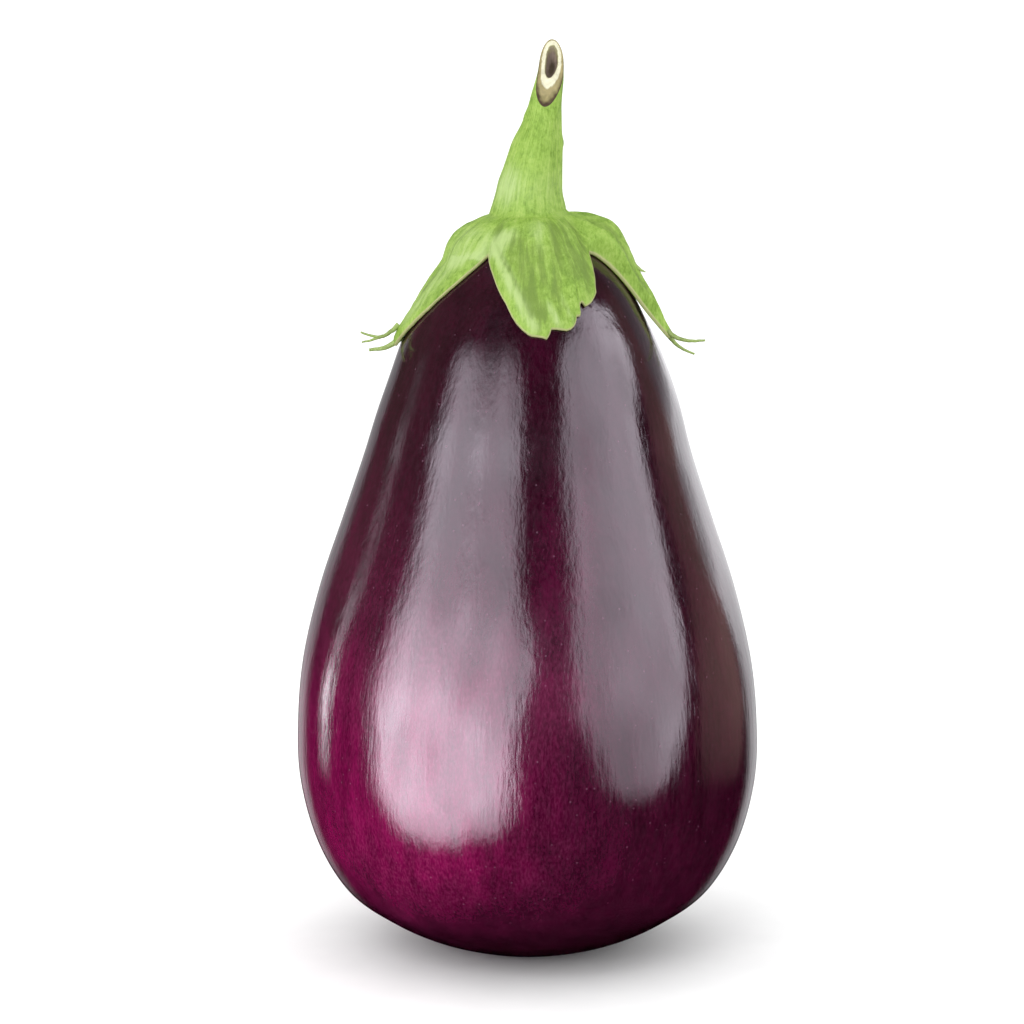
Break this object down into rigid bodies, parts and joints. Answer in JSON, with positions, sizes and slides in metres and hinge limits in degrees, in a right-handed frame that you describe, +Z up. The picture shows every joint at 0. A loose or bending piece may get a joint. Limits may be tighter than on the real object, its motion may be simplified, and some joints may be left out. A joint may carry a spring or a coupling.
{
  "type": "eggplant",
  "caption": "Globe eggplant standing on its blossom end: glossy dark purple fruit, green calyx and a slant-cut stalk.",
  "frame": {"origin": "centre of the small flat spot at the blossom end, which the fruit rests on", "axes": "+Z up the fruit towards its stalk; the pictured front faces -Y, with +X to its right"},
  "size_m": [0.1052, 0.1058, 0.2066],
  "materials": {
    "aubergine_skin": "gloss",
    "green_calyx": "satin"
  },
  "bodies": {
    "root": {"fruit": "aubergine_skin", "calyx_and_stalk": "green_calyx"}
  },
  "joints": []
}
